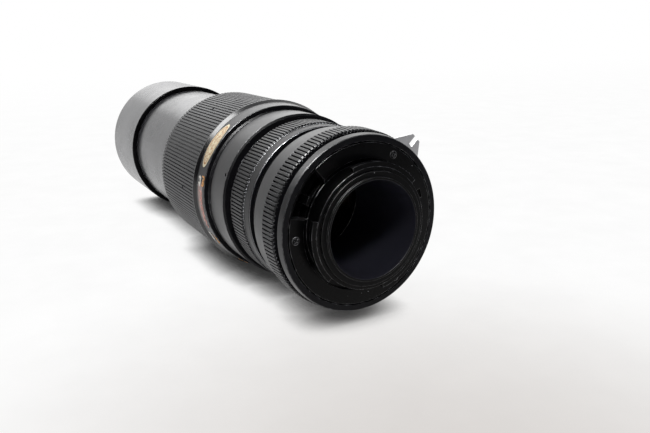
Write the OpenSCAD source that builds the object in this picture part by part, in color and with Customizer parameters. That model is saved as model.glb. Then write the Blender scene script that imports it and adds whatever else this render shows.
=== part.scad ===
// Super telephoto lens for a small-format reflex camera, lying on its side.
// Its optical axis is +Y, from the camera to the subject, and +Z is up.
// The origin is the centre of the mount flange's back face.

/* [Mount flange] */
// Diameter of the tube that the aperture ring and the lock collar turn on
bearing_d = 58.9; // [56:0.1:66]
// Wall of that tube
bearing_wall = 1.85; // [1.5:0.05:2.5]
// Length of the flange ring along the axis
flange_len = 5.2; // [4.8:0.1:8]
// How far the flange ring's back edge stands out from the bearing tube
flange_back_rise = 2.55; // [1.5:0.05:4]
// How far its band's front edge stands out from the bearing tube
flange_front_rise = 2.9; // [1.5:0.05:4]
// Length of the flange ring's band, behind its recess
flange_band_len = 2.9; // [2:0.1:4.4]
// How far the flange ring stands out from the bearing tube in its recess
flange_recess_rise = 1.2; // [0.8:0.05:1.4]
// Thickness of the back plate
plate_t = 1.6; // [1.2:0.1:2]
// Width of the thin groove between the back plate and the flange ring
plate_groove_w = 0.5; // [0.3:0.05:0.8]
// Depth of that groove
plate_groove_depth = 0.9; // [0.5:0.1:1.4]
// Radius of the circle that the back plate's screws lie on
plate_screw_r = 26.8; // [26.2:0.1:27.2]
// Diameter of a back plate screw's head
plate_screw_head_d = 2.9; // [2.4:0.1:3.2]

/* [Bayonet] */
// Outer diameter of the bayonet tube, which enters the camera's throat
bayonet_d = 43.8; // [42.6:0.1:44.4]
// Diameter over the bayonet lugs
lug_d = 47.2; // [46:0.1:47.6]
// How far the bayonet tube reaches behind the flange face
bayonet_reach = 5.4; // [4.5:0.1:7]
// Wall of the bayonet tube
bayonet_wall = 1.4; // [1.1:0.05:1.6]
// Thickness of a lug along the axis
lug_t = 1.7; // [1.2:0.1:2.5]
// Diameter of the rear baffle's bore
baffle_bore_d = 35.4; // [30:0.1:36]
// How far the baffle's lip reaches behind the bayonet tube
baffle_lip_reach = 1.6; // [0.8:0.1:3]

/* [Aperture ring] */
// Length of the aperture ring
aperture_len = 17.6; // [15:0.1:24]
// Length of its fluted part
aperture_knurl_len = 7.6; // [5:0.1:9]
// Wall of the fluted part at its front end
aperture_knurl_wall = 3.75; // [2.8:0.05:5]
// How much lower the fluted part is at its back end
aperture_taper = 0.26; // [0:0.02:0.6]
// Depth of the flutes at the back end
aperture_flute_depth = 0.8; // [0.4:0.05:1.2]
// Wall of the smooth band at its front end
aperture_band_wall = 1.95; // [1.4:0.05:2.5]
// Number of flutes
aperture_flutes = 136; // [60:1:160]
// Clock angle of the coupling prong, seen from behind, with up at 0
prong_clock = 45; // [30:1:70]
// Width of the coupling prong across both ears
prong_w = 14.8; // [10:0.1:16]
// Height of the ears over the prong's seat in the ring
prong_h = 7; // [6:0.1:10]
// Width of the slot between the ears
prong_slot_w = 1.9; // [1.6:0.1:3]

/* [Lock collar] */
// Width of the black groove behind the lock collar
collar_groove_w = 4.6; // [2:0.1:7]
// Length of the lock collar
collar_len = 16.4; // [13:0.1:20]
// Length of its smooth band
collar_band_len = 4.4; // [2:0.1:6]
// Wall of the fluted part of the lock collar
collar_wall = 2.65; // [1.8:0.05:3]
// How much lower the smooth band is than the fluted part
collar_band_step = 0.6; // [0.3:0.05:1]
// Depth of the collar's flutes
collar_flute_depth = 0.7; // [0.4:0.05:1]
// Number of flutes on the lock collar
collar_flutes = 144; // [60:1:160]

/* [Main barrel] */
// Width of the groove between the lock collar and the neck
neck_groove_w = 2.6; // [1.6:0.1:4]
// Length of the smooth neck
neck_len = 13.4; // [10:0.1:20]
// How far the neck stands out from the sleeve that carries the focus ring
neck_rise = 0.2; // [0.1:0.05:0.6]
// Width of the groove between the neck and the focus ring
scale_groove_w = 3.1; // [1.5:0.1:5]
// Wall of the sleeve between the front barrel and the focus ring
sleeve_wall = 1.35; // [1.2:0.05:2]
// Length of that sleeve inside the focus ring
sleeve_len = 21; // [16:0.5:24]

/* [Focus ring] */
// Length of the band that carries the distance scale
scale_len = 6.9; // [5:0.1:10]
// Length of the bevel between the scale and the grip
bevel_len = 2.2; // [1.5:0.1:3]
// Length of the rubber grip
grip_len = 44.4; // [40:0.1:60]
// Wall of the focus ring under the grip
focus_wall = 1.85; // [1.5:0.05:2.6]
// Thickness of the rubber grip over its ribs
grip_t = 1.5; // [1.1:0.05:2]
// How far the rubber's ribs lie below the edge of the bevel
grip_sink = 0.6; // [0.2:0.05:0.6]
// Number of ribs on the grip
grip_ribs = 148; // [60:1:180]
// How far the front barrel moves out at the nearest focus
focus_travel = 22; // [10:0.5:23]

/* [Front barrel] */
// Outer diameter of the front barrel
barrel_d = 64.4; // [64:0.1:72]
// Wall of the front barrel
barrel_wall = 1.8; // [1.5:0.05:2.4]
// Length of the front barrel that shows between the grip and the hood
barrel_shown_len = 60.5; // [50:0.5:80]
// Diameter of the filter thread at the front
filter_d = 62; // [58:0.1:62.4]
// Length of the filter ring
filter_ring_len = 6.5; // [5:0.1:8]

/* [Hood] */
// Length of the sliding hood
hood_len = 42; // [36:0.5:60]
// Outer diameter of the hood over the front barrel's own
hood_rise = 2.35; // [2:0.05:3.5]
// Wall of the hood
hood_wall = 1.25; // [0.8:0.05:1.6]
// How much of the hood overlaps the front barrel when drawn out
hood_overlap = 11.5; // [10:0.5:16]

/* [Iris] */
// Number of blades
blade_n = 8; // [8:1:8]
// Radius of the open iris
iris_r = 16.3; // [14:0.1:16.4]
// Width of a blade
blade_w = 3.6; // [3:0.1:3.6]
// Thickness of a blade
blade_t = 0.2; // [0.1:0.05:0.25]
// Radius of the circle that the blade pivots lie on
pivot_circle_r = 20.9; // [20.8:0.05:21.2]

/* [Hidden] */
$fn = 128;

// Colours, as the photograph shows them
black_anodised = "#1b1b1e";
dull_black = "#101012";
grip_rubber = "#2e2e31";
bright_metal = "#b9babb";
brass_metal = "#b08d4a";
spring_steel = "#8b8d90";
coated_glass = [0.16, 0.18, 0.3, 0.6];

// Clearances and small sizes that several pieces share
run_fit = 0.06;
seat_gap = 0.02;
end_gap = 0.25;
edge_chamfer = 0.4;
cut_over = 1;
cap_steps = 9;

// Radii, from the inside out
bearing_r = bearing_d / 2;
bearing_bore_r = bearing_r - bearing_wall;
bayonet_r = bayonet_d / 2;
bayonet_bore_r = bayonet_r - bayonet_wall;
baffle_r = baffle_bore_d / 2;
barrel_r = barrel_d / 2;
barrel_bore_r = barrel_r - barrel_wall;
sleeve_bore_r = barrel_r + run_fit;
sleeve_r = sleeve_bore_r + sleeve_wall;
neck_r = sleeve_r + neck_rise;
focus_bore_r = sleeve_r + run_fit;
focus_r = focus_bore_r + focus_wall;
lip_r = focus_r + seat_gap + grip_t;
grip_seat_r = focus_r - grip_sink;
grip_r = lip_r - grip_sink;
filter_r = filter_d / 2;
filter_wall = 1.2;
filter_ring_r = filter_r + filter_wall;
front_r = max(barrel_r, filter_ring_r);
hood_r = front_r + hood_rise;

// Places along the axis, from the flange face forward
aperture_z = flange_len + end_gap;
aperture_front = aperture_z + aperture_len;
collar_z = aperture_front + collar_groove_w;
collar_front = collar_z + collar_len;
neck_z = collar_front + neck_groove_w;
neck_front = neck_z + neck_len;
focus_z = neck_front + scale_groove_w;
bevel_z = focus_z + scale_len;
grip_z = bevel_z + bevel_len;
grip_front = grip_z + grip_len;
hood_z = grip_front + barrel_shown_len;
hood_front = hood_z + hood_len;
barrel_front = hood_z + hood_overlap;
filter_z = barrel_front - filter_ring_len;

// Back plate, bayonet and lever opening
lug_clocks = [-104.5, 15, 138];
lug_arcs = [58, 70, 56];
lug_inset = 0.3;
seat_flange_t = 1.6;
web_t = 2;
web_z = plate_t + seat_flange_t;
web_front = web_z + web_t;
plate_r = bearing_r - plate_groove_w / 3;
plate_bore_r = lug_d / 2 + end_gap;
groove_r = plate_r + plate_groove_w;
seat_flange_r = bearing_r - bearing_wall + 2 * edge_chamfer;
screw_n = 3;
plate_screw_clock = 27;
screw_len = web_front - edge_chamfer;
opening_clock_a = -77;
opening_clock_b = -41;
lock_notch_clock = 71;
lock_notch_arc = 8;
lock_notch_depth = 2.6;

// Blade arm, and the rod that turns the iris
blade_arm = 4.4;
rod_d = 1.6;
rod_r = pivot_circle_r + blade_arm - rod_d / 8;

// Baffle and rear glass
baffle_wall = 1.2;
baffle_rim_t = 1.2;
baffle_lip_w = 0.8;
baffle_z = -bayonet_reach - baffle_lip_reach;
baffle_front = aperture_front + collar_groove_w + collar_band_len;
rod_gap = 1.1;
rear_cell_r = rod_r - rod_d / 2 - rod_gap;
rear_cell_wall = 2.4;
rear_glass_r = rear_cell_r - rear_cell_wall;
rear_cell_len = 13;
rear_edge_t = 3.2;
rear_bulge = 1.6;
rear_cell_ledge = 1;
rear_web_t = 4;
rear_web_z = baffle_front + rear_cell_len / 2;
rear_inner_z = baffle_front + rear_cell_ledge + rear_edge_t + rear_bulge + edge_chamfer;

// Lever, its ring and its spring
lever_t = 1.2;
lever_z = web_front + end_gap;
lever_w = 4.2;
lever_tab_clock = -62;
lever_tab_w = 3;
lever_tab_t = 1.1;
lever_tab_reach = 0.6;
lever_swing = 12;
retainer_t = 1.2;
retainer_z = lever_z + lever_t + end_gap;
peg_d = 1.2;
spring_wire_d = 0.45;
spring_d = 2.2;
spring_len = 4.8;
spring_turns = 6;
spring_r = bearing_bore_r - lever_w / 2;
spring_z = retainer_z + retainer_t + spring_d / 2 + seat_gap;
spring_clock = -89;
peg_arc = (spring_len / 2 + peg_d / 2 + 2 * seat_gap) / spring_r * 180 / PI;

// Click stop under the aperture ring
click_clock = 140;
click_ball_d = 1.6;
click_spring_d = 1.3;
click_wire_d = 0.25;
click_turns = 4;
click_boss_d = 3.4;
click_boss_h = 2.4;
click_z = retainer_z + retainer_t + click_boss_d;

// Aperture ring, its flutes and the coupling prong
aperture_bore_r = bearing_r + run_fit;
aperture_knurl_r = aperture_bore_r + aperture_knurl_wall;
aperture_back_r = aperture_knurl_r - aperture_taper;
aperture_band_r = aperture_bore_r + aperture_band_wall;
aperture_flute_floor_r = aperture_back_r - aperture_flute_depth;
aperture_band_step = 0.3;
flute_share = 0.55;
prong_t = 1.1;
prong_base_len = 5.2;
prong_base_t = 0.9;
prong_slot_depth = 3.7;
prong_top_share = 0.3;
prong_seat_r = aperture_flute_floor_r - edge_chamfer / 2;
prong_top_r = prong_seat_r + prong_h;
prong_arc = 2 * asin((prong_w / 2 + edge_chamfer) / prong_seat_r);
prong_z = aperture_z + 4 * edge_chamfer;
prong_screw_d = 1.6;
prong_screw_turn = prong_arc / 4;
prong_screw_z = prong_z + prong_t + (prong_base_len - prong_t) / 2;

// Lock collar
collar_bore_r = bearing_r + run_fit;
collar_r = collar_bore_r + collar_wall;
collar_band_r = collar_r - collar_band_step;
collar_land = 1.1;

// Main barrel, guide tube and keys
tenon_r = bearing_r + seat_gap;
tenon_rise = 1.05;
web_len = 3.9;
guide_z = neck_z + web_len;
guide_r = barrel_bore_r - run_fit;
guide_wall = 1.4;
guide_bore_r = guide_r - guide_wall;
guide_foot_t = 2;
guide_len = 58;
sleeve_front = focus_z + sleeve_len;
barrel_back = guide_z + guide_foot_t + 1;
key_w = 6;
key_len = 7;
key_z = sleeve_front + edge_chamfer;
key_seat = 0.7;
key_screw_d = 1.8;
neck_screw_n = 3;
neck_screw_clock = -69;
neck_screw_d = 1.5;
neck_screw_depth = 1.2;
neck_screw_sink = 0.35;
neck_screw_inset = 1.9;

// Iris
iris_z = guide_z + guide_foot_t;
iris_base_t = 1.2;
iris_wall = 1.2;
iris_housing_r = guide_bore_r - seat_gap;
iris_bore_r = iris_housing_r - iris_wall;
blade_step = 0.32;
blade_z = iris_z + iris_base_t + blade_t / 2;
blade_arc = 105;
blade_hub_r = 1.5;
blade_arm_w = 2.2;
blade_tip_r = 0.48 * blade_w;
blade_boss_r = 0.55 * blade_arm_w;
blade_swing = 37;
pivot_pin_r = 0.6;
stud_r = 0.5;
stud_play = 0.15;
stack_h = blade_step * blade_n;
drive_z = blade_z + stack_h + end_gap;
drive_t = 1.2;
drive_in = 4.8;
drive_r = iris_bore_r - run_fit;
iris_cover_z = drive_z + drive_t + end_gap;
iris_cover_t = 1;
rod_clock = 100;
rod_back = aperture_z + aperture_knurl_len;
rod_swing = 6.2;
rod_slot_arc = 14;
rod_slot_half = 0.8 * rod_d;

// Focus ring
scale_back_rise = 0.07;
bevel_rise = 1.1;
helicoid_z = sleeve_front + 1.5;
helicoid_r = focus_bore_r + 0.6;
helicoid_bore_r = barrel_r + run_fit;
front_ring_t = 1;
front_ring_gap = 0.4;
grip_rib_depth = 0.6;
grip_rib_share = 0.6;
key_slot_front = key_z + key_len + end_gap;
key_slot_back = key_z - focus_travel - end_gap;

// Front cell and its glass
cell_r = barrel_bore_r - seat_gap;
cell_wall = 1.7;
cell_bore_r = cell_r - cell_wall;
cell_len = 34;
cell_z = filter_z - cell_len;
cell_ledge_t = 2;
cell_ledge_w = 2.2;
glass_r = cell_bore_r - seat_gap;
third_edge_t = 4.6;
third_dish = 1.2;
spacer_len = 12.5;
spacer_w = 1.5;
second_edge_t = 5;
second_bulge = 1.3;
air_gap = 1.2;
front_edge_t = 4;
front_bulge = 3.4;
third_z = cell_z + cell_ledge_t;
spacer_z = third_z + third_edge_t;
second_z = spacer_z + spacer_len;
front_glass_z = second_z + second_edge_t + air_gap + second_bulge;
retaining_w = 1.6;
retaining_z = front_glass_z + front_edge_t + front_bulge * rim_share(retaining_w / glass_r) + seat_gap;
filter_flange_t = 1.5;
filter_flange_w = 2.8;

// Hood
hood_lip_t = 2.5;
hood_lip_gap = 0.3;
felt_len = 6.3;
felt_gap = 0.08;
hood_bore_r = hood_r - hood_wall;
hood_edge_r = 0.5;

// Turns a piece drawn along +Z, with +X at clock 0, to lie along +Y with clock 0 up
module along_y() {
    rotate([-90, 0, 0]) rotate([0, 0, -90]) children();
}

// Puts a piece at a clock angle, clockwise as seen from behind
module at_clock(clock) {
    rotate([0, 0, clock]) children();
}

// A plain tube from z0 to z1
module tube(r_in, r_out, z0, z1) {
    translate([0, 0, z0]) difference() {
        cylinder(r = r_out, h = z1 - z0);
        translate([0, 0, -cut_over]) cylinder(r = r_in, h = z1 - z0 + 2 * cut_over);
    }
}

// A sector of a tube, centred on a clock angle
module tube_sector(r_in, r_out, z0, z1, clock, arc) {
    translate([0, 0, z0]) rotate([0, 0, clock - arc / 2]) rotate_extrude(angle = arc)
        translate([r_in, 0]) square([r_out - r_in, z1 - z0]);
}

// What is cut away to leave straight flutes between z0 and z1
module flute_cut(crest_r, floor_r, count, share, z0, z1) {
    translate([0, 0, z0]) linear_extrude(height = z1 - z0) difference() {
        circle(r = crest_r + 2 * cut_over);
        polygon(groove_points(crest_r + cut_over / 10, floor_r, count, share));
    }
}

// Crest corners, then floor corners, of each rib in turn; share is the crest's part of the pitch
function groove_points(crest_r, floor_r, count, share) = let (pitch = 360 / count) [
    for (i = [0 : count - 1], corner = [0 : 3])
        let (lean = (1 - share) / 4,
            place = corner == 0 ? -share / 2 : corner == 1 ? share / 2
                : corner == 2 ? share / 2 + lean : 1 - share / 2 - lean,
            r = corner < 2 ? crest_r : floor_r, turn = pitch * (i + place))
        [r * cos(turn), r * sin(turn)]];

// Points along a shallow cap from the axis out to radius r, with height h at the axis
function cap_points(r, h, z) = let (ball_r = (r * r + h * h) / (2 * abs(h)), half = asin(r / ball_r)) [
    for (i = [0 : cap_steps])
        let (a = half * i / cap_steps)
        [ball_r * sin(a), z + sign(h) * (abs(h) - ball_r * (1 - cos(a)))]];

// How high a cap still stands, as a share of its height, this share of its radius in from its edge
function rim_share(in_share) = 1 - (1 - in_share) * (1 - in_share);

// A lens whose edge lies from z0 to z0 + edge; a bulge below zero is a hollow
module lens_glass(r, edge, back_bulge, front_bulge, z0) {
    back = cap_points(r, -back_bulge, z0);
    front = cap_points(r, front_bulge, z0 + edge);
    rotate_extrude() polygon(concat(back, [for (i = [cap_steps : -1 : 0]) front[i]]));
}

// A countersunk screw with a cross recess, its head's face at z = 0 and its point toward +z
module countersunk_screw(head_d, h) {
    shank = head_d / 4;
    difference() {
        union() {
            cylinder(r1 = head_d / 2, r2 = shank, h = shank);
            cylinder(r = shank, h = h);
        }
        for (turn = [45, 135]) rotate([0, 0, turn])
            translate([-head_d / 3, -head_d / 12, -cut_over])
                cube([head_d / 1.5, head_d / 6, cut_over + shank]);
    }
}

// The hole that takes such a screw
module countersunk_hole(head_d, h) {
    shank = head_d / 4;
    translate([0, 0, -seat_gap])
        cylinder(r1 = head_d / 2 + 2 * seat_gap, r2 = shank + seat_gap, h = shank + seat_gap);
    translate([0, 0, -cut_over]) cylinder(r = shank + seat_gap, h = h + cut_over);
}

// A coil of round wire along +Z, with its ends cut square
function coil_ring(r, wire_r, rise, turn, sides) = [
    for (k = [0 : sides - 1])
        let (a = 360 * k / sides, out = r + wire_r * cos(a))
        [out * cos(turn), out * sin(turn), rise * turn / 360 + wire_r * sin(a)]];

module coil(d, wire_d, turns, h, steps = 12, sides = 6) {
    n = turns * steps;
    rise = (h - wire_d) / turns;
    points = [for (i = [0 : n]) each coil_ring(d / 2 - wire_d / 2, wire_d / 2, rise, 360 * i / steps, sides)];
    faces = concat(
        [[for (k = [0 : sides - 1]) k]],
        [for (i = [0 : n - 1], k = [0 : sides - 1]) let (a = i * sides + k, b = i * sides + (k + 1) % sides)
            each [[a, a + sides, b], [b, a + sides, b + sides]]],
        [[for (k = [0 : sides - 1]) n * sides + sides - 1 - k]]);
    translate([0, 0, wire_d / 2]) polyhedron(points = points, faces = faces);
}

// Camera end

module bayonet_ring() color(black_anodised) along_y() difference() {
    union() {
        tube(bayonet_bore_r, bayonet_r, -bayonet_reach, web_z);
        tube(bayonet_bore_r, seat_flange_r, plate_t, web_z);
        for (i = [0 : screw_n - 1])
            tube_sector(bayonet_r - edge_chamfer, lug_d / 2, -bayonet_reach + lug_inset,
                -bayonet_reach + lug_inset + lug_t, lug_clocks[i], lug_arcs[i]);
    }
    plate_screw_holes();
    lever_opening(bayonet_r + end_gap, seat_flange_r + cut_over, -cut_over, web_z + cut_over);
}

module plate_screw_places() {
    for (i = [0 : screw_n - 1]) at_clock(plate_screw_clock + 360 * i / screw_n)
        translate([plate_screw_r, 0, 0]) children();
}

module plate_screw_holes() {
    plate_screw_places() countersunk_hole(plate_screw_head_d, screw_len);
}

module lever_opening(r_in, r_out, z0, z1) {
    tube_sector(r_in, r_out, z0, z1,
        (opening_clock_a + opening_clock_b) / 2, opening_clock_b - opening_clock_a);
}

module back_plate() color(black_anodised) along_y() difference() {
    tube(plate_bore_r, plate_r, 0, plate_t);
    plate_screw_holes();
    lever_opening(plate_bore_r - cut_over, plate_r + cut_over, -cut_over, plate_t + cut_over);
    tube_sector(plate_bore_r - cut_over, plate_bore_r + lock_notch_depth, -cut_over, plate_t / 2,
        lock_notch_clock, lock_notch_arc);
}

module plate_screws() color(dull_black) along_y()
    plate_screw_places() countersunk_screw(plate_screw_head_d, screw_len);

module flange_ring() color(black_anodised) along_y() rotate_extrude() polygon([
    [groove_r, 0],
    [bearing_r + flange_back_rise - edge_chamfer / 2, 0],
    [bearing_r + flange_back_rise, edge_chamfer / 2],
    [bearing_r + flange_front_rise, flange_band_len - edge_chamfer / 2],
    [bearing_r + flange_front_rise - edge_chamfer / 2, flange_band_len],
    [bearing_r + flange_recess_rise, flange_band_len],
    [bearing_r + flange_recess_rise, flange_len],
    [bearing_r + seat_gap, flange_len],
    [bearing_r + seat_gap, plate_groove_depth],
    [groove_r, plate_groove_depth]]);

module mount_body() color(dull_black) along_y() difference() {
    union() {
        tube(bearing_bore_r, bearing_r, plate_t, guide_z);
        tube(bayonet_bore_r, bearing_bore_r + cut_over, web_z, web_front);
        tube(rear_cell_r + seat_gap, bearing_bore_r + cut_over, rear_web_z, rear_web_z + rear_web_t);
        at_clock(click_clock) translate([bearing_bore_r - click_boss_h, 0, click_z])
            rotate([0, 90, 0]) cylinder(d = click_boss_d, h = click_boss_h + bearing_wall / 2);
    }
    translate([0, 0, plate_t - cut_over])
        cylinder(r = seat_flange_r + seat_gap, h = web_z - plate_t + cut_over);
    plate_screw_holes();
    lever_opening(bayonet_r + end_gap, bearing_bore_r - edge_chamfer, web_z - cut_over, web_front + cut_over);
    rod_slot(rear_web_z, rear_web_t);
    at_clock(click_clock) translate([bearing_bore_r - click_boss_h + edge_chamfer, 0, click_z])
        rotate([0, 90, 0])
            cylinder(d = click_ball_d + 2 * seat_gap, h = click_boss_h + bearing_wall + cut_over);
}

module baffle_tube() color(dull_black) along_y() rotate_extrude() polygon([
    [baffle_r, baffle_z],
    [baffle_r + baffle_lip_w, baffle_z],
    [baffle_r + baffle_lip_w, baffle_z + baffle_lip_w],
    [bayonet_bore_r - seat_gap, baffle_z + baffle_lip_w],
    [bayonet_bore_r - seat_gap, baffle_z + baffle_lip_w + baffle_rim_t],
    [baffle_r + baffle_wall, baffle_z + baffle_lip_w + 2 * baffle_rim_t],
    [baffle_r + baffle_wall, baffle_front],
    [baffle_r, baffle_front]]);

module rear_cell() color(dull_black) along_y() {
    tube(rear_glass_r + seat_gap, rear_cell_r, baffle_front, baffle_front + rear_cell_len);
    tube(rear_glass_r - rear_cell_ledge, rear_glass_r + seat_gap,
        baffle_front, baffle_front + rear_cell_ledge);
}

module rear_element() color(coated_glass) along_y()
    lens_glass(rear_glass_r, rear_edge_t, -edge_chamfer, rear_bulge, baffle_front + rear_cell_ledge);

module rear_inner_element() color(coated_glass) along_y()
    lens_glass(rear_glass_r, rear_edge_t, -edge_chamfer, rear_bulge, rear_inner_z);

module rear_cell_ring() color(dull_black) along_y()
    tube(rear_glass_r - rear_cell_ledge, rear_glass_r,
        rear_inner_z + rear_edge_t + rear_bulge * rim_share(rear_cell_ledge / rear_glass_r) + seat_gap,
        baffle_front + rear_cell_len);

module click_ball() color(spring_steel) along_y() at_clock(click_clock)
    translate([bearing_r - click_ball_d / 2, 0, click_z]) sphere(d = click_ball_d);

module click_spring() color(spring_steel) along_y() at_clock(click_clock)
    translate([bearing_bore_r - click_boss_h + edge_chamfer, 0, click_z]) rotate([0, 90, 0])
        coil(click_spring_d, click_wire_d, click_turns,
            bearing_r - click_ball_d - bearing_bore_r + click_boss_h - edge_chamfer);

module lever_retainer() color(dull_black) along_y() {
    difference() {
        tube(bearing_bore_r - lever_w, bearing_bore_r - seat_gap, retainer_z, retainer_z + retainer_t);
        tube_sector(spring_r - peg_d, spring_r + peg_d,
            retainer_z - cut_over, retainer_z + retainer_t + cut_over,
            spring_clock + peg_arc + lever_swing / 2, lever_swing + 2 * peg_arc);
    }
    at_clock(spring_clock - peg_arc) translate([spring_r, 0, retainer_z])
        cylinder(d = peg_d, h = retainer_t + spring_d);
}

module stop_down_lever() color(black_anodised) along_y() {
    tube(bearing_bore_r - lever_w, bearing_bore_r - run_fit, lever_z, lever_z + lever_t);
    at_clock(lever_tab_clock)
        translate([bearing_bore_r - lever_w + lever_tab_t, -lever_tab_w / 2, -lever_tab_reach])
            cube([lever_tab_t, lever_tab_w, lever_z + lever_t / 2 + lever_tab_reach]);
    at_clock(spring_clock + peg_arc) translate([spring_r, 0, lever_z])
        cylinder(d = peg_d, h = retainer_z + retainer_t + spring_d - lever_z);
}

module lever_spring() color(spring_steel) along_y() at_clock(spring_clock)
    translate([spring_r, spring_len / 2, spring_z]) rotate([90, 0, 0])
        coil(spring_d, spring_wire_d, spring_turns, spring_len);

// Aperture ring and its prong

module aperture_ring() color(black_anodised) along_y() difference() {
    rotate_extrude() polygon([
        [aperture_bore_r, aperture_z],
        [aperture_back_r - edge_chamfer, aperture_z],
        [aperture_back_r, aperture_z + edge_chamfer],
        [aperture_knurl_r, aperture_z + aperture_knurl_len - edge_chamfer],
        [aperture_knurl_r - aperture_band_step, aperture_z + aperture_knurl_len],
        [aperture_band_r + edge_chamfer, aperture_front - 2 * edge_chamfer],
        [aperture_band_r, aperture_front],
        [aperture_bore_r, aperture_front]]);
    flute_cut(aperture_knurl_r, aperture_flute_floor_r, aperture_flutes, flute_share,
        aperture_z - cut_over, aperture_z + aperture_knurl_len);
    prong_seat();
    prong_screw_holes(aperture_bore_r + edge_chamfer);
}

// The seat that the prong's foot lies in
module prong_seat() {
    tube_sector(prong_seat_r, aperture_knurl_r + cut_over,
        prong_z - seat_gap, prong_z + prong_base_len + seat_gap,
        prong_clock, prong_arc + seat_gap * 360 / PI / prong_seat_r);
}

module prong_screw_places(r) {
    for (side = [-1, 1]) at_clock(prong_clock + side * prong_screw_turn)
        translate([r, 0, prong_screw_z]) rotate([0, 90, 0]) children();
}

module prong_screw_holes(r) {
    prong_screw_places(r) cylinder(d = prong_screw_d + 2 * seat_gap, h = prong_h);
}

module coupling_prong() color(bright_metal) along_y() difference() {
    union() {
        tube_sector(prong_seat_r + seat_gap, prong_seat_r + prong_base_t, prong_z, prong_z + prong_base_len,
            prong_clock, prong_arc);
        difference() {
            at_clock(prong_clock) translate([0, 0, prong_z]) linear_extrude(height = prong_t)
                for (side = [-1, 1]) prong_ear(side);
            translate([0, 0, prong_z - cut_over])
                cylinder(r = prong_seat_r + prong_base_t / 2, h = prong_t + 2 * cut_over);
        }
    }
    prong_screw_holes(prong_seat_r - cut_over);
}

// One ear with its half of the slot's floor
module prong_ear(side) polygon([
    [0, 0],
    [prong_seat_r, side * prong_w / 2],
    [prong_seat_r + prong_base_t / 2, side * prong_w / 2],
    [prong_top_r, side * prong_w / 2 * prong_top_share],
    [prong_top_r, side * prong_slot_w / 2],
    [prong_top_r - prong_slot_depth, side * prong_slot_w / 2],
    [prong_top_r - prong_slot_depth, 0]]);

module prong_screws() color(bright_metal) along_y() prong_screw_places(aperture_bore_r + edge_chamfer) {
    head_z = prong_seat_r + prong_base_t - aperture_bore_r - edge_chamfer;
    difference() {
        union() {
            cylinder(d = prong_screw_d, h = head_z + seat_gap);
            translate([0, 0, head_z]) cylinder(d = prong_screw_d * 1.7, h = prong_base_t * 0.7);
        }
        translate([-prong_screw_d, -prong_base_t / 6, head_z + prong_base_t * 0.35])
            cube([2 * prong_screw_d, prong_base_t / 3, prong_base_t]);
    }
}

// Lock collar

module lock_collar() color(black_anodised) along_y() difference() {
    rotate_extrude() polygon([
        [collar_bore_r, collar_z],
        [collar_band_r - edge_chamfer, collar_z],
        [collar_band_r - edge_chamfer / 2, collar_z + edge_chamfer],
        [collar_band_r, collar_z + collar_band_len],
        [collar_r, collar_z + collar_band_len + collar_band_step],
        [collar_r, collar_front - collar_land],
        [collar_r - collar_flute_depth, collar_front - collar_land + collar_flute_depth],
        [collar_r - collar_flute_depth, collar_front],
        [collar_bore_r, collar_front]]);
    flute_cut(collar_r, collar_r - collar_flute_depth, collar_flutes, flute_share,
        collar_z + collar_band_len, collar_front - collar_land + collar_flute_depth);
}

// Main barrel

module main_barrel() color(black_anodised) along_y() difference() {
    rotate_extrude() polygon([
        [tenon_r, collar_front + end_gap],
        [tenon_r + tenon_rise, collar_front + end_gap],
        [tenon_r + tenon_rise, neck_z],
        [neck_r - 2 * edge_chamfer, neck_z],
        [neck_r, neck_z + edge_chamfer],
        [neck_r, neck_front - edge_chamfer],
        [neck_r - edge_chamfer, neck_front],
        [sleeve_bore_r + sleeve_wall / 2, neck_front],
        [sleeve_bore_r + sleeve_wall / 2, focus_z - edge_chamfer],
        [sleeve_r, focus_z],
        [sleeve_r, sleeve_front],
        [sleeve_bore_r, sleeve_front],
        [sleeve_bore_r, guide_z],
        [tenon_r, guide_z]]);
    neck_screw_places() cylinder(d = neck_screw_d + 2 * seat_gap, h = neck_screw_depth + 2 * cut_over);
}

module neck_screw_places() {
    for (i = [0 : neck_screw_n - 1]) at_clock(neck_screw_clock + 360 * i / neck_screw_n)
        translate([neck_r - neck_screw_sink - neck_screw_depth, 0, neck_z + neck_screw_inset])
            rotate([0, 90, 0]) children();
}

module neck_screws() color(dull_black) along_y() neck_screw_places() difference() {
    cylinder(d = neck_screw_d, h = neck_screw_depth);
    translate([-neck_screw_d, -neck_screw_d / 8, neck_screw_depth * 0.6])
        cube([2 * neck_screw_d, neck_screw_d / 4, neck_screw_depth]);
}

module guide_tube() color(bright_metal) along_y() difference() {
    union() {
        tube(guide_bore_r, guide_r, guide_z, guide_z + guide_len);
        tube(min(guide_bore_r, bearing_r - edge_chamfer), sleeve_bore_r - seat_gap,
            guide_z, guide_z + guide_foot_t);
    }
    key_places() translate([guide_r - key_seat, -key_w / 2 - seat_gap, -seat_gap])
        cube([key_seat + cut_over, key_w + 2 * seat_gap, key_len + 2 * seat_gap]);
    key_places() translate([guide_bore_r - cut_over, 0, key_len / 2]) rotate([0, 90, 0])
        cylinder(d = key_screw_d, h = guide_wall + 2 * cut_over);
}

module key_places() {
    for (side = [0, 1]) at_clock(90 + 180 * side) translate([0, 0, key_z]) children();
}

module helicoid_keys() color(brass_metal) along_y() key_places() difference() {
    translate([guide_r - key_seat, -key_w / 2, 0])
        cube([barrel_r - guide_r + key_seat - end_gap, key_w, key_len]);
    translate([guide_r - key_seat - cut_over, 0, key_len / 2]) rotate([0, 90, 0])
        cylinder(d = key_screw_d + 2 * seat_gap, h = barrel_wall + key_seat + 2 * cut_over);
}

module key_screws() color(spring_steel) along_y() key_places()
    translate([guide_bore_r + edge_chamfer, 0, key_len / 2]) rotate([0, 90, 0])
        cylinder(d = key_screw_d - 2 * seat_gap, h = barrel_r - guide_bore_r - 2 * edge_chamfer);

// Iris

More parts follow.
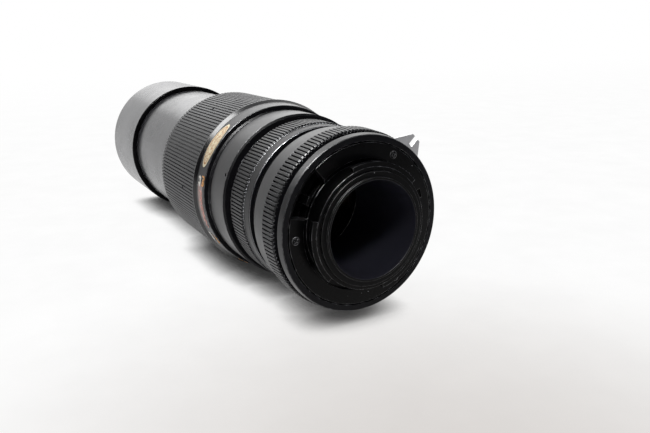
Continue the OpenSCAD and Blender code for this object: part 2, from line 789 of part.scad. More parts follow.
// The slot that the rod swings in, through a wall of thickness t
module rod_slot(z, t) {
    tube_sector(rod_r - rod_slot_half, rod_r + rod_slot_half, z - cut_over, z + t + cut_over,
        rod_clock + rod_swing / 2, rod_slot_arc);
}

module iris_housing() color(dull_black) along_y() difference() {
    union() {
        tube(iris_r + run_fit, iris_housing_r, iris_z, iris_z + iris_base_t);
        tube(iris_bore_r, iris_housing_r, iris_z, iris_cover_z);
        for (i = [0 : blade_n - 1]) at_clock(360 * i / blade_n) translate([pivot_circle_r, 0, iris_z])
            cylinder(r = pivot_pin_r, h = iris_base_t + stack_h + blade_t);
    }
    rod_slot(iris_z, iris_base_t);
}

module iris_cover() color(dull_black) along_y()
    tube(iris_r + run_fit, iris_housing_r, iris_cover_z, iris_cover_z + iris_cover_t);

module iris_drive_ring() color(brass_metal) along_y() difference() {
    tube(drive_r - drive_in, drive_r, drive_z, drive_z + drive_t);
    for (i = [0 : blade_n - 1]) at_clock(360 * i / blade_n)
        translate([pivot_circle_r + blade_arm * cos(blade_swing) - stud_r - stud_play, -stud_r - stud_play,
            drive_z - cut_over])
            cube([blade_arm * (1 - cos(blade_swing)) + 2 * (stud_r + stud_play),
                2 * (stud_r + stud_play), drive_t + 2 * cut_over]);
}

module iris_rod() color(spring_steel) along_y() at_clock(rod_clock)
    translate([rod_r, 0, rod_back]) cylinder(d = rod_d, h = drive_z - rod_back);

// One crescent blade with its pivot hole, its arm and the stud that the drive ring moves
module iris_blade(i) {
    z = blade_z + blade_step * i;
    color(spring_steel) along_y() at_clock(360 * i / blade_n) difference() {
        union() {
            translate([0, 0, z]) linear_extrude(height = blade_t) {
                intersection() {
                    difference() {
                        circle(r = iris_r + blade_w);
                        circle(r = iris_r);
                    }
                    polygon(concat([[0, 0]], [for (k = [0 : 5])
                        let (a = blade_arc * k / 5, far = 2 * iris_r) [far * cos(a), far * sin(a)]]));
                }
                rotate([0, 0, blade_arc]) translate([iris_r + blade_w / 2, 0]) circle(r = blade_tip_r);
                translate([iris_r + blade_w / 4, -blade_arm_w / 2])
                    square([pivot_circle_r + blade_arm - iris_r - blade_w / 4, blade_arm_w]);
                translate([pivot_circle_r, 0]) circle(r = blade_hub_r);
                translate([pivot_circle_r + blade_arm, 0]) circle(r = blade_boss_r);
            }
            translate([pivot_circle_r + blade_arm, 0, z + blade_t / 2])
                cylinder(r = stud_r, h = drive_z + drive_t - end_gap - z - blade_t / 2);
        }
        translate([pivot_circle_r, 0, z - cut_over])
            cylinder(r = pivot_pin_r + run_fit, h = blade_t + 2 * cut_over);
    }
}

module iris_blade_1() iris_blade(0);
module iris_blade_2() iris_blade(1);
module iris_blade_3() iris_blade(2);
module iris_blade_4() iris_blade(3);
module iris_blade_5() iris_blade(4);
module iris_blade_6() iris_blade(5);
module iris_blade_7() iris_blade(6);
module iris_blade_8() iris_blade(7);

// Focus ring

module focus_ring() color(black_anodised) along_y() rotate_extrude() polygon([
    [focus_bore_r, focus_z],
    [focus_r - scale_back_rise - edge_chamfer / 2, focus_z],
    [focus_r - scale_back_rise, focus_z + edge_chamfer / 2],
    [lip_r - bevel_rise + scale_back_rise, bevel_z],
    [lip_r, grip_z - edge_chamfer],
    [lip_r, grip_z],
    [grip_seat_r, grip_z],
    [grip_seat_r, grip_front],
    [helicoid_r + seat_gap, grip_front],
    [helicoid_r + seat_gap, helicoid_z],
    [focus_bore_r, helicoid_z]]);

module focus_grip() color(grip_rubber) along_y() difference() {
    tube(grip_seat_r + seat_gap, grip_r, grip_z + seat_gap, grip_front);
    flute_cut(grip_r, grip_r - grip_rib_depth, grip_ribs, grip_rib_share,
        grip_z - cut_over, grip_front + cut_over);
}

module focus_helicoid() color(brass_metal) along_y()
    tube(helicoid_bore_r, helicoid_r, helicoid_z + seat_gap, grip_front - front_ring_t - seat_gap);

module focus_front_ring() color(black_anodised) along_y()
    tube(barrel_r + front_ring_gap, helicoid_r, grip_front - front_ring_t, grip_front);

// Front barrel and its glass

module front_barrel() color(black_anodised) along_y() difference() {
    tube(barrel_bore_r, barrel_r, barrel_back, filter_z);
    for (side = [0, 1]) at_clock(90 + 180 * side)
        translate([barrel_bore_r - cut_over, -key_w / 2 - run_fit, key_slot_back])
            cube([barrel_wall + 2 * cut_over, key_w + 2 * run_fit, key_slot_front - key_slot_back]);
}

module filter_ring() color(black_anodised) along_y() {
    tube(min(filter_r, barrel_r) - filter_flange_w, front_r, filter_z, filter_z + filter_flange_t);
    rotate_extrude() polygon([
        [filter_r, filter_z + filter_flange_t / 2],
        [filter_ring_r, filter_z + filter_flange_t / 2],
        [filter_ring_r, barrel_front - edge_chamfer],
        [filter_ring_r - edge_chamfer, barrel_front],
        [filter_r, barrel_front]]);
}

module front_cell() color(dull_black) along_y() {
    tube(cell_bore_r, cell_r, cell_z, filter_z);
    tube(cell_bore_r - cell_ledge_w, cell_bore_r, cell_z, cell_z + cell_ledge_t);
}

module front_element() color(coated_glass) along_y()
    lens_glass(glass_r, front_edge_t, second_bulge / 2, front_bulge, front_glass_z);

module second_element() color(coated_glass) along_y()
    lens_glass(glass_r, second_edge_t, -second_bulge / 2, second_bulge, second_z);

module third_element() color(coated_glass) along_y()
    lens_glass(glass_r, third_edge_t, -third_dish / 2, -third_dish, third_z);

module element_spacer() color(dull_black) along_y()
    tube(glass_r - spacer_w, glass_r, spacer_z, second_z);

module front_retaining_ring() color(dull_black) along_y()
    tube(glass_r - retaining_w, glass_r, retaining_z, filter_z);

// Hood

module lens_hood() color(black_anodised) along_y() rotate_extrude() polygon([
    [front_r + hood_lip_gap, hood_z],
    [hood_r - edge_chamfer, hood_z],
    [hood_r, hood_z + edge_chamfer],
    [hood_r, hood_front - hood_edge_r],
    [hood_r - hood_edge_r, hood_front],
    [hood_bore_r, hood_front],
    [hood_bore_r, hood_z + hood_lip_t],
    [front_r + hood_lip_gap, hood_z + hood_lip_t]]);

module hood_felt() color(dull_black) along_y()
    tube(front_r + felt_gap, hood_bore_r - seat_gap, hood_z + hood_lip_t, hood_z + hood_lip_t + felt_len);

bayonet_ring();
back_plate();
plate_screws();
flange_ring();
mount_body();
baffle_tube();
rear_cell();
rear_element();
rear_inner_element();
rear_cell_ring();
click_ball();
click_spring();
lever_retainer();
lever_spring();
stop_down_lever();
aperture_ring();
coupling_prong();
prong_screws();
lock_collar();
main_barrel();
neck_screws();
guide_tube();
helicoid_keys();
key_screws();
iris_housing();
iris_cover();
iris_drive_ring();
iris_rod();
iris_blade_1();
iris_blade_2();
iris_blade_3();
iris_blade_4();
iris_blade_5();
iris_blade_6();
iris_blade_7();
iris_blade_8();
focus_ring();
focus_grip();
focus_helicoid();
focus_front_ring();
front_barrel();
filter_ring();
front_cell();
front_element();
second_element();
third_element();
element_spacer();
front_retaining_ring();
lens_hood();
hood_felt();
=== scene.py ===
"""Dresses the super telephoto lens: finishes for every solid, the foil sticker, the dial numbers and the studio."""

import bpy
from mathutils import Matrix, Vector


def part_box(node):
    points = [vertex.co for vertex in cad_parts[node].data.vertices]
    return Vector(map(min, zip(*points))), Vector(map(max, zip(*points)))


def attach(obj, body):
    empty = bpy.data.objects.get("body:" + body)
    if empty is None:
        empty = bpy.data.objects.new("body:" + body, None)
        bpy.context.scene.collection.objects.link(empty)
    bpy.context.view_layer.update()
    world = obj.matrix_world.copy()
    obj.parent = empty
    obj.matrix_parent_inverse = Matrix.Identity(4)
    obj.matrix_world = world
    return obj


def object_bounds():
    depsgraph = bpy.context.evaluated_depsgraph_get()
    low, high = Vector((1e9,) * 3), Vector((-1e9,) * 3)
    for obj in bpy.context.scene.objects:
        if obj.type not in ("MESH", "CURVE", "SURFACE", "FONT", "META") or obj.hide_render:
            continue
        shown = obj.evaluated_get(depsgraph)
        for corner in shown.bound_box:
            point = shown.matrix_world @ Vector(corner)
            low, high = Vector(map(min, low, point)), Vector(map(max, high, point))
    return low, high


bl_info = {
    "name": "Telephoto lens finishes",
    "version": (1, 0, 0),
    "blender": (4, 5, 0),
    "location": "3D View > Sidebar > Lens",
    "description": "Finishes, sticker, dial numbers and studio for the super telephoto lens",
    "category": "Object",
}

import math

import bpy
from mathutils import Matrix, Vector

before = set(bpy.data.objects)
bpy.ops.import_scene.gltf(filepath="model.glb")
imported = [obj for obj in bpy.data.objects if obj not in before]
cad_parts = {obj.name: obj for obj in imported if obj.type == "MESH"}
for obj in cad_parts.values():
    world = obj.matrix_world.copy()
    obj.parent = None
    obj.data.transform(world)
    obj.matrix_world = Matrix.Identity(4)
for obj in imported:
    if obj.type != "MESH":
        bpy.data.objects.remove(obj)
cad_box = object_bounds()

MM = 0.001

# Distances along the axis, from the rear end of the ring that carries each thing.
COLLAR_TEETH = 4.4 * MM
FOCUS_BEVEL = 6.9 * MM
METRES_ROW = 5.2 * MM
FEET_ROW = 1.95 * MM
MIDDLE_ROW = 3.6 * MM  # the sticker and the red numbers
# Distance from the front end of the aperture ring back to its numbers.
STOPS_ROW = 4.2 * MM

# The film of skin grease on the focus ring: its ends along the axis, half its width, and how softly each fades.
FILM_REAR, FILM_FRONT, FILM_FADE = 65.0 * MM, 68.8 * MM, 0.4 * MM
FILM_HALF_WIDTH, FILM_SIDE_FADE = 7.0 * MM, 3.0 * MM
FILM_CLOCK = math.radians(-95)

# Nicks in the grip: clock angle in degrees, place along the axis, radius.
NICKS = ((-29.0, 94.8 * MM, 1.0 * MM), (-90.0, 87.0 * MM, 1.2 * MM))
RIB_DEPTH = 0.6 * MM
BAFFLE_BORE_RADIUS = 17.75 * MM
HOOD_SKIN = 0.5 * MM  # how far in from its outer radius the hood still counts as its outside

FOIL_THICKNESS = 0.09 * MM
FOIL_CLEARANCE = 0.01 * MM
PAINT_DEPTH = 0.07 * MM
NUMERAL_SHARE = 0.7  # height of a numeral as a share of the font's size
STROKE_SHARE = 0.05  # how much a stroke is thickened, as a share of the numeral's height
SMOOTH_BELOW = math.radians(35)
OUTSIDE_THE_LENS = 0.1  # radius from which rays are cast at the rings

# The plane of the floor, with its middle far ahead of the lens.
FLOOR_SIZE, FLOOR_AHEAD = 12.0, 5.6
# The middle of the shadow painted on the sheet in front of the mount, and how far it reaches.
PAINTED_SHADOW_SPOT, PAINTED_SHADOW_REACH = (-0.03, -0.09), 0.17
# The camera as fitted to the photograph. Its focal length and its sensor's width are both in millimetres.
CAMERA_PLACE = (-0.12188, -0.18154, 0.06713)
CAMERA_AHEAD = (0.48467, 0.82778, -0.281)
CAMERA_RIGHT = (0.86278, -0.50567, 0.0)
CAMERA_LENS = CAMERA_SENSOR = 36.0


def linear(hex_colour):
    """An sRGB hex colour as the linear RGBA that a socket takes."""
    parts = [int(hex_colour[i : i + 2], 16) / 255 for i in (1, 3, 5)]
    return tuple(p / 12.92 if p <= 0.04045 else ((p + 0.055) / 1.055) ** 2.4 for p in parts) + (1.0,)


def add(tree, kind, sockets=None, **settings):
    """Adds a node, sets its properties, and sets or links its inputs by name or number. Returns the node."""
    node = tree.nodes.new(kind)
    for name, value in settings.items():
        setattr(node, name, value)
    for key, value in (sockets or {}).items():
        if isinstance(value, bpy.types.Node):
            value = value.outputs[0]
        if isinstance(value, bpy.types.NodeSocket):
            tree.links.new(value, node.inputs[key])
        else:
            node.inputs[key].default_value = value
    return node


def material(name):
    """A new empty material, its tree and its shader."""
    made = bpy.data.materials.new(name)
    made.use_nodes = True
    tree = made.node_tree
    tree.nodes.clear()
    shader = add(tree, "ShaderNodeBsdfPrincipled")
    add(tree, "ShaderNodeOutputMaterial", {"Surface": shader})
    return made, tree, shader


def link(tree, source, shader, socket):
    """Links a node or one of its outputs to a socket of the shader."""
    tree.links.new(source if isinstance(source, bpy.types.NodeSocket) else source.outputs[0], shader.inputs[socket])


def seen_ray(tree):
    """1 for a ray that shows a thing to the camera, straight or in a mirror or glass, and 0 for one that only
    lights a surface."""
    rays = add(tree, "ShaderNodeLightPath")
    mirror = add(tree, "ShaderNodeMath", {0: rays.outputs["Is Glossy Ray"], 1: rays.outputs["Is Transmission Ray"]},
                 operation="MAXIMUM")
    return add(tree, "ShaderNodeMath", {0: mirror, 1: rays.outputs["Is Camera Ray"]}, operation="MAXIMUM")


def object_place(tree):
    """The place of a point in its object."""
    return add(tree, "ShaderNodeTexCoord").outputs["Object"]


def round_coordinates(tree):
    """The place of a point, its distance from the optical axis, and its place along that axis."""
    place = object_place(tree)
    parts = add(tree, "ShaderNodeSeparateXYZ", {0: place})
    flat = add(tree, "ShaderNodeCombineXYZ", {0: parts.outputs[0], 2: parts.outputs[2]})
    radius = add(tree, "ShaderNodeVectorMath", {0: flat}, operation="LENGTH")
    return place, radius.outputs["Value"], parts.outputs[1]


def round_edges(tree, place, reach, amount, height, strength, distance):
    """Rounds every sharp edge by its normals, so that it catches the lamps, and puts the surface's own relief on top.
    Returns that normal, where the edges are, and how much of its black each has lost, both from 0 to 1."""
    rounded = add(tree, "ShaderNodeBevel", {"Radius": reach}, samples=6)
    true = add(tree, "ShaderNodeNewGeometry")
    turn = add(tree, "ShaderNodeVectorMath", {0: rounded, 1: true.outputs["Normal"]}, operation="DOT_PRODUCT")
    patchy = add(tree, "ShaderNodeTexNoise", {"Vector": place, "Scale": 420.0, "Detail": 3.0})
    edge = add(tree, "ShaderNodeMapRange", {"Value": turn.outputs["Value"], "From Min": 0.985, "From Max": 0.88})
    rubbed = add(tree, "ShaderNodeMapRange", {"Value": patchy, "From Min": 0.42, "From Max": 0.66, "To Max": amount})
    relief = add(tree, "ShaderNodeBump",
                 {"Height": height, "Strength": strength, "Distance": distance, "Normal": rounded})
    return relief, edge, add(tree, "ShaderNodeMath", {0: edge, 1: rubbed}, operation="MULTIPLY")


def specks(tree, place, per_m, size, share):
    """Grains of dust: a soft dot at the middle of a small share of the cells, from 0 to 1."""
    cells = add(tree, "ShaderNodeTexVoronoi", {"Vector": place, "Scale": per_m})
    dot = add(tree, "ShaderNodeMapRange",
              {"Value": cells.outputs["Distance"], "From Min": size, "From Max": size * 0.5})
    chance = add(tree, "ShaderNodeSeparateColor", {0: cells.outputs["Color"]})
    few = add(tree, "ShaderNodeMath", {0: chance.outputs[0], 1: 1.0 - share}, operation="GREATER_THAN")
    return add(tree, "ShaderNodeMath", {0: dot, 1: few}, operation="MULTIPLY")


def dress(names, finish):
    """Gives CAD nodes a finish."""
    for name in names:
        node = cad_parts[name]
        if node.material_slots:
            for slot in node.material_slots:
                slot.material = finish
        else:
            node.data.materials.append(finish)


def anodised_aluminium(name, colour, rough, wear, level=0.42,
                       polished=None, rubbed=None, chipped=None, sheen_and_shade_radius=None):
    """Black anodised aluminium, turned on a lathe: satin, with fine rings, faint handling marks, dust and rubbed
    edges. polished is where a polished bevel begins along the axis, rubbed the clock angle of a film of skin grease,
    chipped where the rear tips of the teeth lie, and sheen_and_shade_radius the outer radius of a piece whose paler
    outside is a painted sheen and whose bore and end faces are painted dark as shade."""
    made, tree, shader = material(name)
    place, radius, along = round_coordinates(tree)
    lathe = add(tree, "ShaderNodeCombineXYZ", {0: radius, 1: along})
    # A lathe feed of about 0.1 mm is too fine to show, so the rings are drawn 0.35 mm apart.
    rings = add(tree, "ShaderNodeTexNoise", {"Vector": lathe, "Scale": 2900.0, "Detail": 2.0, "Roughness": 0.6})
    hands = add(tree, "ShaderNodeTexNoise", {"Vector": place, "Scale": 55.0, "Detail": 4.0, "Roughness": 0.62})
    satin = add(tree, "ShaderNodeMapRange",
                {"Value": hands, "From Min": 0.3, "From Max": 0.7, "To Min": rough - 0.06, "To Max": rough + 0.07})
    cut = add(tree, "ShaderNodeMapRange", {"Value": rings, "To Min": -0.05, "To Max": 0.05})
    grain = add(tree, "ShaderNodeMath", {0: satin, 1: cut}, operation="ADD")
    dust = specks(tree, place, per_m=260.0, size=0.045, share=0.10)
    relief, edge, bare = round_edges(tree, place, 0.3 * MM, wear, rings, strength=0.12, distance=0.04 * MM)
    if chipped:
        # The teeth's rear tips stand proud and are the first to lose their black.
        tip = add(tree, "ShaderNodeMapRange",
                  {"Value": along, "From Min": chipped + 0.5 * MM, "From Max": chipped + 0.1 * MM})
        worn = add(tree, "ShaderNodeMath", {0: tip, 1: edge}, operation="MULTIPLY")
        bare = add(tree, "ShaderNodeMath", {0: worn, 1: bare}, operation="MAXIMUM")
    lighter = add(tree, "ShaderNodeMath", {0: dust, 1: bare}, operation="MAXIMUM")
    shade = add(tree, "ShaderNodeMix", {0: lighter, 6: linear(colour), 7: linear("#b4b5b9")}, data_type="RGBA")

    facing = add(tree, "ShaderNodeSeparateXYZ", {0: add(tree, "ShaderNodeNewGeometry").outputs["Normal"]})
    square = add(tree, "ShaderNodeMath", {0: facing.outputs[1]}, operation="ABSOLUTE")
    if sheen_and_shade_radius:
        # Painted sheen and shade: the outside keeps the given paler colour as a painted sheen,
        # while the bore and the faces and chamfers that look along the axis are painted near black
        # as shade, and lose most of their gloss.
        turned = add(tree, "ShaderNodeMapRange", {"Value": square, "From Min": 0.3, "From Max": 0.6})
        bore = add(tree, "ShaderNodeMath", {0: radius, 1: sheen_and_shade_radius - HOOD_SKIN}, operation="LESS_THAN")
        black = add(tree, "ShaderNodeMath", {0: turned, 1: bore}, operation="MAXIMUM")
        shade = add(tree, "ShaderNodeMix", {0: black, 6: shade.outputs[2], 7: linear("#0b0b0d")}, data_type="RGBA")
        held = add(tree, "ShaderNodeMapRange", {"Value": black, "To Min": 1.0, "To Max": 0.1})
    else:
        # A facing cut leaves the faces that stand square to the axis duller than the turned sides.
        dull = add(tree, "ShaderNodeMapRange",
                   {"Value": square, "From Min": 0.8, "From Max": 0.95, "To Min": 1.0, "To Max": 0.2})
        held = add(tree, "ShaderNodeMath", {0: dull, 1: edge}, operation="MAXIMUM")
    if polished:
        # A bevel turned with a polished tool is glossier than the rest of its ring, and deeper in colour.
        bevel = add(tree, "ShaderNodeMapRange",
                    {"Value": along, "From Min": polished, "From Max": polished + 0.3 * MM})
        grain = add(tree, "ShaderNodeMix", {0: bevel, 2: grain, 3: 0.24}, data_type="FLOAT")
        shade = add(tree, "ShaderNodeMix", {0: bevel, 6: shade.outputs[2], 7: linear("#09090a")}, data_type="RGBA")
    if rubbed:
        # Fingers have rubbed the dye thin on one side of the ring, where a pinkish grey film of skin grease stays.
        spot = add(tree, "ShaderNodeMapping", {"Vector": place, "Rotation": (0.0, -rubbed, 0.0)})
        across = add(tree, "ShaderNodeSeparateXYZ", {0: spot})
        near = add(tree, "ShaderNodeMath", {0: across.outputs[0]}, operation="ABSOLUTE")
        middle = add(tree, "ShaderNodeMapRange",
                     {"Value": near, "From Min": FILM_HALF_WIDTH + FILM_SIDE_FADE, "From Max": FILM_HALF_WIDTH},
                     interpolation_type="SMOOTHSTEP")
        above = add(tree, "ShaderNodeMath", {0: across.outputs[2], 1: 0.0}, operation="GREATER_THAN")
        ends = [add(tree, "ShaderNodeMapRange",
                    {"Value": across.outputs[1], "From Min": end - inward, "From Max": end + inward})
                for end, inward in ((FILM_REAR, FILM_FADE), (FILM_FRONT, -FILM_FADE))]
        film = add(tree, "ShaderNodeMapRange",
                   {"Value": hands, "From Min": 0.35, "From Max": 0.6, "To Min": 0.5, "To Max": 1.0})
        for part in (middle, above, *ends):
            film = add(tree, "ShaderNodeMath", {0: film, 1: part}, operation="MULTIPLY")
        shade = add(tree, "ShaderNodeMix", {0: film, 6: shade.outputs[2], 7: linear("#b0938b")}, data_type="RGBA")

    # Painted shade: ambient occlusion holds back the gloss in the flutes and grooves, where shade falls.
    groove_shade = add(tree, "ShaderNodeAmbientOcclusion", {"Distance": 0.9 * MM}, samples=6)
    open_air = add(tree, "ShaderNodeMapRange",
                   {"Value": groove_shade.outputs["AO"], "From Min": 0.45, "From Max": 1.0, "To Min": 0.15, "To Max": 1.0})
    gloss = add(tree, "ShaderNodeMath", {0: open_air, 1: held}, operation="MULTIPLY")
    link(tree, bare, shader, "Metallic")
    link(tree, shade.outputs[2], shader, "Base Color")
    link(tree, grain, shader, "Roughness")
    link(tree, relief, shader, "Normal")
    # The open pores of the anodised skin hold light back, so that it mirrors less than a closed surface.
    link(tree, add(tree, "ShaderNodeMath", {0: gloss, 1: level}, operation="MULTIPLY"), shader, "Specular IOR Level")
    return made


def matt_lacquer(name, colour, rough, wear, inside=None):
    """Matt black lacquer over aluminium: almost no gloss, a fine spray grain, and bright metal where an edge is
    rubbed. inside is the colour painted on the baffle's bore, a paler blue-grey that is a painted glow."""
    made, tree, shader = material(name)
    place, radius = round_coordinates(tree)[:2]
    # Spray grain of about 0.1 mm, drawn at 0.25 mm.
    grain = add(tree, "ShaderNodeTexNoise", {"Vector": place, "Scale": 4000.0, "Detail": 2.0})
    cloud = add(tree, "ShaderNodeTexNoise", {"Vector": place, "Scale": 90.0, "Detail": 3.0})
    matt = add(tree, "ShaderNodeMapRange",
               {"Value": cloud, "From Min": 0.3, "From Max": 0.7, "To Min": rough - 0.08, "To Max": rough + 0.06})
    dust = specks(tree, place, per_m=340.0, size=0.07, share=0.16)
    relief, edge, bare = round_edges(tree, place, 0.25 * MM, wear, grain, strength=0.15, distance=0.05 * MM)
    lighter = add(tree, "ShaderNodeMath", {0: dust, 1: bare}, operation="MAXIMUM")
    shade = add(tree, "ShaderNodeMix", {0: lighter, 6: linear(colour), 7: linear("#b6b7bb")}, data_type="RGBA")
    if inside:
        # Painted glow: the wall of the bore is painted a paler blue-grey than the lacquer, so that the light
        # falling in shows as the bluish glow in the throat.
        bore = add(tree, "ShaderNodeMath", {0: radius, 1: BAFFLE_BORE_RADIUS}, operation="LESS_THAN")
        shade = add(tree, "ShaderNodeMix", {0: bore, 6: shade.outputs[2], 7: linear(inside)}, data_type="RGBA")
    # Handling has polished the edges.
    gloss = add(tree, "ShaderNodeMapRange", {"Value": edge, "To Min": 0.1, "To Max": 0.7})
    link(tree, bare, shader, "Metallic")
    link(tree, shade.outputs[2], shader, "Base Color")
    link(tree, matt, shader, "Roughness")
    link(tree, relief, shader, "Normal")
    link(tree, gloss, shader, "Specular IOR Level")
    return made


def grip_rubber(name, crest_r, floor_r):
    """Moulded nitrile rubber: soft satin, paler where it is worn, with grey dust held in the grooves."""
    made, tree, shader = material(name)
    place, radius = round_coordinates(tree)[:2]
    # Moulded grain of about 0.1 mm, drawn at 0.3 mm.
    pores = add(tree, "ShaderNodeTexNoise", {"Vector": place, "Scale": 3200.0, "Detail": 3.0})
    cloud = add(tree, "ShaderNodeTexNoise", {"Vector": place, "Scale": 70.0, "Detail": 4.0})
    depth = add(tree, "ShaderNodeMapRange", {"Value": radius, "From Min": floor_r, "From Max": crest_r})
    tone = add(tree, "ShaderNodeMix", {0: depth, 6: linear("#29292b"), 7: linear("#212124")}, data_type="RGBA")
    patch = add(tree, "ShaderNodeMapRange", {"Value": cloud, "From Min": 0.35, "From Max": 0.75, "To Max": 0.35})
    worn = add(tree, "ShaderNodeMix", {0: patch, 6: tone.outputs[2], 7: linear("#303034")}, data_type="RGBA")
    dust = specks(tree, place, per_m=300.0, size=0.05, share=0.16)
    shade = add(tree, "ShaderNodeMix", {0: dust, 6: worn.outputs[2], 7: linear("#77777a")}, data_type="RGBA")
    soft = add(tree, "ShaderNodeMapRange",
               {"Value": cloud, "From Min": 0.3, "From Max": 0.7, "To Min": 0.42, "To Max": 0.52})
    # The nicks are too rough to shine.
    level = 0.5
    for clock, along, size in NICKS:
        turn = math.radians(clock)
        spot = (crest_r * math.sin(turn), along, crest_r * math.cos(turn))
        away = add(tree, "ShaderNodeVectorMath", {0: place, 1: spot}, operation="DISTANCE")
        smooth = add(tree, "ShaderNodeMapRange",
                     {"Value": away.outputs["Value"], "From Min": size * 0.6, "From Max": size})
        level = add(tree, "ShaderNodeMath", {0: smooth, 1: level}, operation="MULTIPLY")
    relief = add(tree, "ShaderNodeBump", {"Height": pores, "Strength": 0.2, "Distance": 0.06 * MM})
    link(tree, level, shader, "Specular IOR Level")
    link(tree, shade.outputs[2], shader, "Base Color")
    link(tree, soft, shader, "Roughness")
    link(tree, relief, shader, "Normal")
    shader.inputs["IOR"].default_value = 1.46
    return made


def plain_metal(name, colour, dull_colour, rough):
    """A bare metal piece, drawn or turned: even colour, fine brushing, dulled in patches by handling and grease."""
    made, tree, shader = material(name)
    place = object_place(tree)
    # Brush marks of about 0.03 mm, drawn 0.1 mm wide and 0.5 mm long.
    brushed = add(tree, "ShaderNodeMapping", {"Vector": place, "Scale": (1800.0, 9000.0, 1800.0)})
    lines = add(tree, "ShaderNodeTexNoise", {"Vector": brushed, "Scale": 1.0, "Detail": 2.0})
    cloud = add(tree, "ShaderNodeTexNoise", {"Vector": place, "Scale": 240.0, "Detail": 4.0})
    dulled = add(tree, "ShaderNodeMapRange", {"Value": cloud, "From Min": 0.45, "From Max": 0.7, "To Max": 0.7})
    shade = add(tree, "ShaderNodeMix", {0: dulled, 6: linear(colour), 7: linear(dull_colour)}, data_type="RGBA")
    satin = add(tree, "ShaderNodeMapRange", {"Value": cloud, "To Min": rough - 0.07, "To Max": rough + 0.12})
    relief = add(tree, "ShaderNodeBump", {"Height": lines, "Strength": 0.1, "Distance": 0.03 * MM})
    link(tree, shade.outputs[2], shader, "Base Color")
    link(tree, satin, shader, "Roughness")
    link(tree, relief, shader, "Normal")
    shader.inputs["Metallic"].default_value = 1.0
    return made


def coated_glass(name, tint, coat_nm):
    """Polished optical glass with a thin evaporated coat, which colours its reflections violet or amber."""
    made, tree, shader = material(name)
    place = object_place(tree)
    haze = add(tree, "ShaderNodeTexNoise", {"Vector": place, "Scale": 130.0, "Detail": 4.0})
    film = add(tree, "ShaderNodeMapRange", {"Value": haze, "From Min": 0.5, "From Max": 0.8, "To Max": 0.015})
    dust = specks(tree, place, per_m=420.0, size=0.03, share=0.04)
    link(tree, add(tree, "ShaderNodeMath", {0: film, 1: dust}, operation="ADD"), shader, "Roughness")
    shader.inputs["Base Color"].default_value = linear(tint)
    shader.inputs["IOR"].default_value = 1.62
    shader.inputs["Transmission Weight"].default_value = 1.0
    shader.inputs["Thin Film Thickness"].default_value = coat_nm
    shader.inputs["Thin Film IOR"].default_value = 1.38
    return made


def wool_felt(name):
    """Pressed wool felt, dyed black: no gloss, short fibres that scatter a little light."""
    made, tree, shader = material(name)
    # Fibres of about 0.03 mm, drawn at 0.4 mm.
    fibres = add(tree, "ShaderNodeTexNoise",
                 {"Vector": object_place(tree), "Scale": 2600.0, "Detail": 6.0, "Roughness": 0.8})
    shade = add(tree, "ShaderNodeMix", {0: fibres, 6: linear("#0a0a0b"), 7: linear("#1d1d1f")}, data_type="RGBA")
    relief = add(tree, "ShaderNodeBump", {"Height": fibres, "Strength": 0.6, "Distance": 0.1 * MM})
    link(tree, shade.outputs[2], shader, "Base Color")
    link(tree, relief, shader, "Normal")
    shader.inputs["Roughness"].default_value = 1.0
    shader.inputs["Sheen Weight"].default_value = 0.3
    return made


def enamel(name, colour):
    """Enamel paint filled into an engraving: flat colour, a little chalky and worn."""
    made, tree, shader = material(name)
    chalk = add(tree, "ShaderNodeTexNoise", {"Vector": object_place(tree), "Scale": 1500.0, "Detail": 3.0})
    worn = add(tree, "ShaderNodeMapRange", {"Value": chalk, "From Min": 0.5, "From Max": 0.75, "To Max": 0.4})
    shade = add(tree, "ShaderNodeMix", {0: worn, 6: linear(colour), 7: linear("#55524e")}, data_type="RGBA")
    link(tree, shade.outputs[2], shader, "Base Color")
    shader.inputs["Roughness"].default_value = 0.55
    return made


def gold_foil(name, clock, along, half_length, half_width):
    """Printed gold foil sticker: cream-gold, glossy, with a thin brown border and faint brownish mottling, and no
    words."""
    made, tree, shader = material(name)
    place = object_place(tree)
    # Turned so that the sticker's middle lies straight up, then X runs along the oval and Y across it.
    turned = add(tree, "ShaderNodeMapping", {"Vector": place, "Rotation": (0.0, -clock, 0.0)})
    parts = add(tree, "ShaderNodeSeparateXYZ", {0: turned})
    across = add(tree, "ShaderNodeMath", {0: parts.outputs[1], 1: along}, operation="SUBTRACT")
    u = add(tree, "ShaderNodeMath", {0: parts.outputs[0], 1: 1.0 / half_length}, operation="MULTIPLY")
    v = add(tree, "ShaderNodeMath", {0: across, 1: 1.0 / half_width}, operation="MULTIPLY")
    # How far out a point lies, from 0 in the middle of the oval to 1 at its rim.
    oval = add(tree, "ShaderNodeCombineXYZ", {0: u, 1: v})
    out = add(tree, "ShaderNodeVectorMath", {0: oval}, operation="LENGTH").outputs["Value"]
    border = add(tree, "ShaderNodeValToRGB", {0: out})
    ramp = border.color_ramp
    for element, spot in zip(ramp.elements, (0.80, 0.93)):
        element.position, element.color = spot, (0.0, 0.0, 0.0, 1.0)
    for spot, level in ((0.83, 1.0), (0.88, 1.0), (0.90, 0.0)):
        ramp.elements.new(spot).color = (level, level, level, 1.0)
    mottle = add(tree, "ShaderNodeTexNoise", {"Vector": place, "Scale": 900.0, "Detail": 3.0, "Roughness": 0.7})
    inside = add(tree, "ShaderNodeMath", {0: out, 1: 0.78}, operation="LESS_THAN")
    brown = add(tree, "ShaderNodeMapRange", {"Value": mottle, "From Min": 0.44, "From Max": 0.58, "To Max": 0.8})
    printed = add(tree, "ShaderNodeMath", {0: brown, 1: inside}, operation="MULTIPLY")
    lined = add(tree, "ShaderNodeMath", {0: printed, 1: border}, operation="MAXIMUM")
    shade = add(tree, "ShaderNodeMix", {0: lined, 6: linear("#dfd4b4"), 7: linear("#ab7238")}, data_type="RGBA")
    relief = add(tree, "ShaderNodeBump", {"Height": lined, "Strength": 0.25, "Distance": 0.05 * MM})
    link(tree, shade.outputs[2], shader, "Base Color")
    link(tree, relief, shader, "Normal")
    shader.inputs["Metallic"].default_value = 0.35
    shader.inputs["Roughness"].default_value = 0.34
    return made


